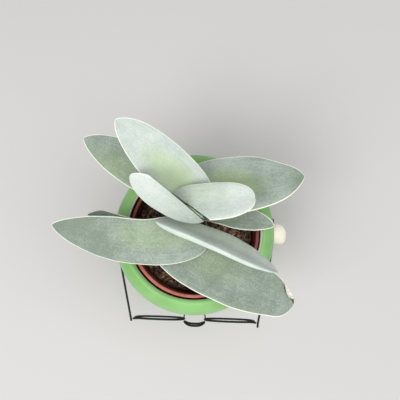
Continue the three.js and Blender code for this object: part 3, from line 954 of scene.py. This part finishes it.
coir_finish = Finish("coir", roughness=0.85)
coir_tone = coir_finish.noise(120, detail=1).ramp(0.3, 0.7)
coir = coir_finish.paint(coir_finish.mix(coir_tone, srgb(120, 88, 64), srgb(206, 178, 148)))
fibres = grown(scatter_sheet("soil_fibres", 44, 9), fibre_tree(), coir, Density=60000.0,
               Shortest=0.003, Longest=0.012, Thickness=0.02, Seed=5)
hand_over(smoothed(fibres, 60), coir, "potting_soil")

# %% [markdown]
# ## Nursery pot
#
# A thin injection-moulded pot, terracotta-coloured and matte, with a rolled rim and six holes in
# its base. Its profile is turned, with the corners rounded by small fillets, because no moulded
# edge is sharp.


# %% Turned profiles
FILLET_STEPS = 5


def lathe(profile, angles):
    """Points and faces of a profile (radius, height) turned about Z. Its ends lie on the axis."""
    body = profile[1:-1]
    points = [(r * math.cos(a), r * math.sin(a), z) for r, z in body for a in angles]
    points += [(0, 0, profile[0][1]), (0, 0, profile[-1][1])]
    return points, pod_faces(len(body), len(angles))


def rounded(corners):
    """A profile whose corners (radius, height, fillet) are rounded."""
    profile = [corners[0][:2]]
    for before, (x, y, fillet), after in zip(corners, corners[1:], corners[2:]):
        here, back, on = Vector((x, y)), Vector(before[:2]), Vector(after[:2])
        if fillet == 0:
            profile.append((x, y))
            continue
        first = here + (back - here).normalized() * min(fillet, (back - here).length / 2)
        last = here + (on - here).normalized() * min(fillet, (on - here).length / 2)
        for k in range(FILLET_STEPS + 1):
            t = k / FILLET_STEPS
            bent = first * (1 - t) ** 2 + here * 2 * t * (1 - t) + last * t * t
            profile.append(tuple(bent))
    return profile + [corners[-1][:2]]


# %% Nursery pot
ASIDE, NURSERY_RIM, RIM_WALL = (0.3, 0, 0), 51.6, 2.6
DRAIN_HOLES, DRAIN_RING, DRAIN_RADIUS = 6, 26, 4


def nursery_pot():
    shoulder, rim, inside = NURSERY_TOP - 9, NURSERY_RIM, NURSERY_RIM - RIM_WALL
    corners = [
        (0, NURSERY_LOW, 0), (POT_FOOT, NURSERY_LOW, 1.2), (POT_SHOULDER, shoulder - 1.5, 0.6),
        (rim - 0.3, shoulder, 0.7), (rim, NURSERY_TOP, 0.8), (inside, NURSERY_TOP, 0.8),
        (inside - 0.1, NURSERY_TOP - 2, 0.6), (POT_SHOULDER - WALL, shoulder - 2.5, 1.5),
        (POT_FOOT - WALL, NURSERY_LOW + BASE, 1.2), (0, NURSERY_LOW + BASE, 0),
    ]
    made = mesh_object("nursery_pot_shell", *lathe(rounded(corners), turns(180)))
    for spot in circle(DRAIN_RING, DRAIN_HOLES):
        spot.z = NURSERY_LOW
        hole = plain_shape(
            "drain_hole", bmesh.ops.create_cone, Matrix.Translation(spot * MM), cap_ends=True,
            segments=32, radius1=DRAIN_RADIUS * MM, radius2=DRAIN_RADIUS * MM, depth=12 * MM,
        )
        shaped(made, hole, "DIFFERENCE")
    made.data.transform(Matrix.Translation(Vector(ASIDE) * MM))
    return smoothed(made, 35)


# %% [markdown]
# The wall below the rim's top is painted darker, as painted shade inside the pot, and the front
# half is painted lighter than the back, as painted light: lit and shaded copies of one terracotta
# colour.
# A dusty mottle breaks up both, its pale dust shows only on the lit front, and its fine grain is
# left to the bump.

# %% Nursery pot finish
clay = Finish("terracotta_plastic", roughness=0.5)
dust = clay.noise(130, detail=4)
clay_grain = clay.noise(1800, detail=2)
_, ahead, height = clay.parts(clay.place)
# Painted shade: the wall below the rim's top is painted darker.
painted_shade_inside = (height + (dust - 0.5) * 0.004).ramp(0.0995, 0.096)
# Painted light: the front half is painted lighter, and the back is painted darker.
painted_light_front = ahead.ramp(-0.008, -0.036)
clay_colour = clay.mix(painted_light_front, srgb(104, 48, 35), srgb(152, 74, 56))
clay_colour = clay.mix(dust.ramp(0.35, 0.75) * 0.35 * painted_light_front, clay_colour, srgb(200, 144, 130))
clay_colour = clay.mix(painted_shade_inside * 0.75, clay_colour, srgb(72, 32, 22))
clay.bump(clay_grain + dust, 0.12, 0.5)
hand_over(nursery_pot(), clay.paint(clay_colour, 0.42 + dust * 0.25), "terracotta_plastic",
          "nursery_pot")

# %% [markdown]
# ## Cachepot
#
# One turned profile gives the foot, the round side, the sloping shoulder, the lip and the inside.
# The nose is part of the same clay, so the wall is pushed out there in a soft swelling instead of
# a separate lump being stuck on. The columns of points stand closer round the nose.

# %% Cachepot profile
HEIGHT, BELLY, BELLY_HEIGHT, FOOT, FLARE = 104, 66.8, 80, 46, 14
RIM, MOUTH, LIP, POT_WALL = 57.2, 52.9, 1.6, 4.4
INNER = BELLY - POT_WALL
SIDE_ROWS, SHOULDER_ROWS, LIP_ROWS, THROAT_ROWS, INSIDE_ROWS = 96, 36, 16, 16, 30


def bezier(points, steps):
    """Points of a cubic curve, without its first one."""
    a, b, c, d = (Vector(p) for p in points)
    shares = [k / steps for k in range(1, steps + 1)]
    return [
        tuple(a * (1 - t) ** 3 + b * 3 * t * (1 - t) ** 2 + c * 3 * t * t * (1 - t) + d * t**3)
        for t in shares
    ]


SIDE = bezier(
    ((FOOT, 0), (FOOT + FLARE, 12), (BELLY, BELLY_HEIGHT / 2), (BELLY, BELLY_HEIGHT)), SIDE_ROWS
)


def pot_profile():
    lip_in, throat = (MOUTH, HEIGHT - LIP), (MOUTH, HEIGHT - POT_WALL)
    belly, inner = (BELLY, BELLY_HEIGHT), (INNER, BELLY_HEIGHT)
    profile = [(0, 0), (FOOT - 1.2, 0), (FOOT - 0.3, 0.25)] + SIDE
    profile += bezier((belly, (BELLY, BELLY_HEIGHT + 10), (BELLY - 3, HEIGHT - 6),
                       (RIM, HEIGHT - 1)), SHOULDER_ROWS)
    profile += bezier(((RIM, HEIGHT - 1), (RIM - 1, HEIGHT), (MOUTH + LIP, HEIGHT), lip_in),
                      LIP_ROWS)
    profile += [(MOUTH, HEIGHT - 3), throat]
    profile += bezier((throat, (INNER - POT_WALL, HEIGHT - 2 * POT_WALL),
                       (INNER, BELLY_HEIGHT + 8), inner), THROAT_ROWS)
    profile += bezier((inner, (INNER, BELLY_HEIGHT / 2), (FOOT + 10, POT_FLOOR + 8),
                       (FOOT - POT_WALL, POT_FLOOR)), INSIDE_ROWS)
    return profile + [(0, POT_FLOOR)]


def side_radius(height):
    return float(np.interp(height, [z for _, z in SIDE], [r for r, _ in SIDE]))


# %% [markdown]
# The nose is an ellipsoid sunk in the wall. Where the wall would lie behind it, the points of the
# turned body move out to it, and a small soft step blends the two.

# %% Cachepot
NOSE_WIDTH, NOSE_REACH, NOSE_HEIGHT, NOSE_MIDDLE, NOSE_SUNK = 4.6, 70.6, 11, 50, 12
NOSE_BLEND = 1.2
GLAZE_END, GLAZE_WANDER, GLAZE_LOWEST = SIDE_ROWS + SHOULDER_ROWS + 14.2, 2.6, math.radians(250)


def nose_reach(x, z):
    """How far the nose stands out at a point, as a distance in front of the pot's axis."""
    inside = 1 - (x / NOSE_WIDTH) ** 2 - ((z - NOSE_MIDDLE) / NOSE_HEIGHT) ** 2
    return NOSE_REACH - NOSE_SUNK + NOSE_SUNK * math.sqrt(inside) if inside > 0 else 0


def glaze_edge(rows, angles):
    """For each point, 1 where the clay is bare and 0 where it is glazed."""
    end = GLAZE_END + GLAZE_WANDER * np.cos(np.array(angles) - GLAZE_LOWEST)
    bare = np.clip(np.arange(rows)[:, None] - end[None, :] + 0.5, 0, 1)
    bare[:2] = 1
    return np.append(bare.ravel(), (1, 1)).astype(np.float32)


def cachepot():
    near_nose = [-90 + 0.4 * i for i in range(-24, 25)]
    elsewhere = np.linspace(-90 + 9.9, 270 - 9.9, 176)[1:-1]
    angles = [math.radians(a) for a in sorted([*near_nose, *elsewhere])]
    points, faces = lathe(pot_profile(), angles)
    outside = (len(SIDE) + 3) * len(angles)
    for i, (x, y, z) in enumerate(points[:outside]):
        if y < 0 and abs(x) < 3 * NOSE_WIDTH and abs(z - NOSE_MIDDLE) < 2 * NOSE_HEIGHT:
            ahead = nose_reach(x, z)
            lift = max(NOSE_BLEND - abs(ahead + y), 0) ** 2 / (4 * NOSE_BLEND)
            points[i] = (x, -max(ahead, -y) - lift, z)
    made = mesh_object("cachepot_glazed", points, faces)
    bare = glaze_edge(len(points) // len(angles), angles)
    made.data.attributes.new("bare", "FLOAT", "POINT").data.foreach_set("value", bare)
    return smoothed(made, 60)


# %% [markdown]
# The glaze is a soft leaf green, nearly matte, with faint clouds where it pooled and the tiniest
# specks. It stops on the inner edge of the lip. From there down, the inside is bare pale clay. A
# mask by height and radius would also colour the shoulder, so the pot's rows carry the border.

# %% Cachepot finish
glaze = Finish("green_glaze", roughness=0.5, specular_ior_level=0.4, sheen_weight=0.15)
bare_clay = glaze.node("ShaderNodeAttribute", output="Fac", attribute_name="bare")
clouds = glaze.noise(42, detail=4)
specks = glaze.cells(900).ramp(0.16, 0.06)
tooth = glaze.noise(1600, detail=2)
green = glaze.mix(clouds.ramp(0.3, 0.72), srgb(116, 168, 94), srgb(132, 184, 112))
green = glaze.mix(specks * 0.35, green, srgb(92, 138, 78))
clay_tone = glaze.mix(clouds.ramp(0.3, 0.7), srgb(196, 184, 172), srgb(214, 206, 192))
pot_colour = glaze.mix(bare_clay.ramp(0.3, 0.7), green, clay_tone)
glaze.bump(clouds * 2.5 + tooth * 0.4, 0.2, 0.5)
hand_over(cachepot(), glaze.paint(pot_colour, 0.46 + clouds * 0.12), "green_ceramic", "cachepot")

# %% [markdown]
# ## Ears
#
# Each ear is a thick cream lobe with squarer sides and a shallow dish in front. It could be cut
# by the pot's shape. Instead, the points that would lie in the pot are moved out to its wall, so
# the ear's back follows the pot cleanly, with the small clearance that the solids keep.


# %% Ears
EAR_CENTRE, EAR_DEPTH, EAR_REACH, EAR_TALL = Vector((67.5, 1, 46)), 23, 16.5, 17
EAR_SQUARE, DISH_MIDDLE, DISH_REACH, DISH_TALL, DISH_DEPTH = 0.75, 2, 11.5, 12, 4.6


def squarer(value, power):
    """A sine or cosine bent so that an oval gets squarer sides."""
    return math.copysign(abs(value) ** power, value)


def ear(name, side):
    rows, sides = 60, 84
    points = []
    for row in range(1, rows):
        tilt = math.pi * row / rows
        for t in turns(sides):
            x = squarer(math.cos(t), EAR_SQUARE) * math.sin(tilt)
            y = squarer(math.sin(t), EAR_SQUARE) * math.sin(tilt)
            points.append(Vector((EAR_REACH * x, EAR_DEPTH / 2 * y, -EAR_TALL * math.cos(tilt))))
    points += [Vector((0, 0, -EAR_TALL)), Vector((0, 0, EAR_TALL))]
    for point in points:
        dish = ((point.x - DISH_MIDDLE) / DISH_REACH) ** 2 + (point.z / DISH_TALL) ** 2
        if point.y < 0 and dish < 1:
            point.y += DISH_DEPTH * (1 - dish) ** 1.5
        point += EAR_CENTRE
        away = math.hypot(point.x, point.y)
        wall = side_radius(point.z) + GAP
        if away < wall:
            point.xy = point.xy * wall / away
    faces = pod_faces(rows - 1, sides)
    if side < 0:
        points = [Vector((-p.x, p.y, p.z)) for p in points]
        faces = [face[::-1] for face in faces]
    return smoothed(mesh_object(name, points, faces), 60)


cream = Finish("cream_glaze", roughness=0.38, coat_weight=0.15)
cream_clouds = cream.noise(60, detail=4)
cream_specks = cream.cells(1100).ramp(0.12, 0.05)
cream_colour = cream.mix(cream_clouds.ramp(0.3, 0.7), srgb(250, 243, 220), srgb(254, 250, 234))
cream_colour = cream.mix(cream_specks * 0.25, cream_colour, srgb(196, 176, 140))
cream.bump(cream_clouds * 2 + cream.noise(1500) * 0.3, 0.15, 0.5)
cream_material = cream.paint(cream_colour, 0.36 + cream_clouds * 0.12)
hand_over(ear("right_ear_lobe", 1), cream_material, "cream_ceramic", "right_ear")
hand_over(ear("left_ear_lobe", -1), cream_material, "cream_ceramic", "left_ear")

# %% [markdown]
# ## Spectacles
#
# The spectacles are bent from one gauge of steel wire. A wire is a round section that follows a
# path, so one Geometry Nodes tree makes them all: it turns a line of points into a curve and
# sweeps a circle along it. The rims are ovals with squarer corners, and the arms run back over
# the ears. The whole frame is turned two degrees about the nose, as it sits in the photo.

# %% Wire maker
WIRE, FRONT, LEAN = 0.9, -73.6, 0.6
ASKEW, RIM_SQUARE = math.radians(-2), 0.78


def wire_tree():
    tree, graph, given = tree_with("wire", Radius="Float")
    path = graph.node("GeometryNodeMeshToCurve", {"Mesh": given["Geometry"]})
    rod = swept(graph, path, 20, given["Radius"])
    return ended(tree, graph, rod, given["Material"])


round_wire = wire_tree()
lacquer = Finish("black_lacquer", roughness=0.5, specular_ior_level=0.3)
wear = lacquer.noise(700, detail=3)
lacquer_colour = lacquer.mix(wear.ramp(0.55, 0.8) * 0.5, srgb(15, 14, 15), srgb(52, 50, 52))
lacquer.bump(wear, 0.05, 0.4)
black = lacquer.paint(lacquer_colour, 0.42 + wear * 0.2)


def wire_object(name, path, closed=False, radius=WIRE):
    count = len(path)
    edges = [(i, i + 1) for i in range(count - 1)] + ([(count - 1, 0)] if closed else [])
    made = mesh_object(name, path, [], edges)
    return mended(grown(made, round_wire, black, Radius=radius * MM))


def bead(place, size=(WIRE, WIRE, WIRE)):
    """A small ellipsoid, such as a nose pad or the rounded end of a wire."""
    place = Matrix.Translation(Vector(place) * MM) @ Matrix.Diagonal((*(Vector(size) * MM), 1))
    return plain_shape("bead", bmesh.ops.create_uvsphere, place, u_segments=24, v_segments=16,
                       radius=1)


# %% [markdown]
# The paths are of two kinds: closed ovals for the lens loops and the bridge, and smooth lines
# through a few corners for the arms.


# %% Paths of the wires
def loop_path(half_width, half_height, bow, lean, centre, count):
    """An oval with squarer corners, bowed forwards, its top leaning back by `lean`."""
    path = []
    for t in turns(count):
        x = half_width * squarer(math.cos(t), RIM_SQUARE)
        z = half_height * squarer(math.sin(t), RIM_SQUARE)
        y = lean * z / half_height - bow * (1 - abs(x / half_width) ** 3)
        path.append(Vector((x, y, z)) + Vector(centre))
    return path


def between(p, q, low, high, t):
    """The place of knot t on the line through p at knot low and q at knot high."""
    return p * ((high - t) / (high - low)) + q * ((t - low) / (high - low))


def smooth_path(corners):
    """A smooth path through its corners, by centripetal Catmull-Rom."""
    steps, corners = 14, [Vector(c) for c in corners]
    ends = [2 * corners[0] - corners[1], *corners, 2 * corners[-1] - corners[-2]]
    path = []
    for a, b, c, d in zip(ends, ends[1:], ends[2:], ends[3:]):
        knots = [0.0]
        for p, q in ((a, b), (b, c), (c, d)):
            knots.append(knots[-1] + max((q - p).length, 1e-4) ** 0.5)
        before, low, high, after = knots
        for k in range(steps):
            t = low + (high - low) * k / steps
            middle = between(b, c, low, high, t)
            first = between(between(a, b, before, low, t), middle, before, high, t)
            last = between(middle, between(c, d, high, after, t), low, after, t)
            path.append(between(first, last, low, high, t))
    return path + [corners[-1]]


def worn(made, side):
    """Mirrors a right-hand piece if it is the left one, and turns it askew about the nose."""
    if side < 0:
        made.data.transform(Matrix.Diagonal((-1, 1, 1, 1)))
        made.data.flip_normals()
    nose = Matrix.Translation((0, -NOSE_REACH * MM, 0))
    made.data.transform(nose @ Matrix.Rotation(ASKEW, 4, "Z") @ nose.inverted())
    return smoothed(made, 50)


# %% [markdown]
# Each rim is one piece with the arm of its nose pad, the pad and the lug of its hinge, as if
# brazed, so these are joined by unions. An arm runs from the hinge over its ear and hooks down
# behind it. The bridge is a small flat loop of its own.

# %% Rims, arms and bridge
RIM_INNER, RIM_OUTER, RIM_LOW, RIM_HIGH, HINGE = 9, 52.3, 40, 67, 63
PAD_ARM, PAD = 0.55, (0.9, 1.7, 3.1)
EAR_TOP = EAR_CENTRE.z + EAR_TALL


def rim(name, side):
    middle = ((RIM_INNER + RIM_OUTER) / 2, FRONT, (RIM_LOW + RIM_HIGH) / 2)
    oval = loop_path((RIM_OUTER - RIM_INNER) / 2, (RIM_HIGH - RIM_LOW) / 2, 0, LEAN, middle, 140)
    pad = (NOSE_WIDTH + 0.6, 3.6 - NOSE_REACH, NOSE_MIDDLE + 2)
    pad_path = smooth_path([
        (RIM_INNER + 0.3, FRONT, NOSE_MIDDLE + 4),
        (RIM_INNER + 0.1, FRONT + 3.2, NOSE_MIDDLE + 3.6),
        (RIM_INNER - 1.6, FRONT + 5.6, NOSE_MIDDLE + 3), pad,
    ])
    lug_end = (RIM_OUTER + 0.2, FRONT, HINGE)
    lug = wire_object("lug", [(RIM_OUTER - 4, FRONT + LEAN / 2, HINGE), lug_end])
    made = wire_object(name, oval, closed=True)
    for part in (wire_object("pad_arm", pad_path, radius=PAD_ARM), bead(pad, PAD), lug,
                 bead(lug_end)):
        shaped(made, part, "UNION")
    return worn(made, side)


def arm(name, side):
    beside = RIM_OUTER + 2 * WIRE + GAP
    over_ear = EAR_TOP + WIRE + GAP
    sprung = side * NOSE_REACH * math.sin(ASKEW)
    corners = [
        (beside, FRONT - (3.4 if side > 0 else 1.4), HINGE), (beside + 0.2, FRONT - 0.5, HINGE),
        (64 + sprung * 0.5, -31, HINGE + 0.4), (68.6 + sprung, -5, over_ear),
        (68.8 + sprung, 7, over_ear - 0.2), (70 + sprung, 15, over_ear - 5),
        (71 + sprung, 17.5, over_ear - 13),
    ]
    made = wire_object(name, smooth_path(corners))
    for end in (corners[0], corners[-1]):
        shaped(made, bead(end), "UNION")
    return worn(made, side)


def bridge():
    oval = loop_path(RIM_INNER - 0.4, 4.5, 2.4, -0.3, (0, FRONT - 2 * WIRE, 58), 90)
    return worn(wire_object("bridge_wire", oval, closed=True), 1)


for side, word in ((1, "right"), (-1, "left")):
    hand_over(rim(word + "_rim_wire", side), black, "black_wire", word + "_rim")
    hand_over(arm(word + "_arm_wire", side), black, "black_wire", word + "_arm")
hand_over(bridge(), black, "black_wire", "bridge")

# %% [markdown]
# ## Floor and light
#
# The planter stands on a plain pale floor. The light in the photo is soft and comes from the
# lower left, so a panel stands there. A wider one overhead and a bright room open the shadows.


# %% Floor and lights
FLOOR_REACH, PLANTER_MIDDLE, ROOM_LIGHT = 3000, Vector((0, 0, 0.1)), 0.42

corners = [(-1, -1, 0), (1, -1, 0), (1, 1, 0), (-1, 1, 0)]
floor = mesh_object("floor", np.array(corners) * FLOOR_REACH, [(0, 1, 2, 3)])
paper = Finish("pale_floor", roughness=0.9, specular_ior_level=0.1)
floor.data.materials.append(paper.paint(srgb(196, 194, 194)))


def panel(name, place, size, watts, colour=(1, 1, 1)):
    data = bpy.data.lights.new(name, "AREA")
    data.shape, data.size, data.energy, data.color = "DISK", size, watts, colour
    made = linked(name, data)
    made.location = place
    made.rotation_euler = (PLANTER_MIDDLE - Vector(place)).to_track_quat("-Z", "Y").to_euler()
    print(name, watts, "W")


panel("window", (-0.6, -0.6, 1.15), 0.9, 13, (1.0, 0.99, 0.97))
panel("overhead", (0.55, -0.15, 1.4), 1.8, 15)
world = bpy.data.worlds.new("room")
world.use_nodes = True
sky = world.node_tree.nodes["Background"].inputs
sky["Color"].default_value, sky["Strength"].default_value = (1, 1, 1, 1), ROOM_LIGHT
bpy.context.scene.world = world
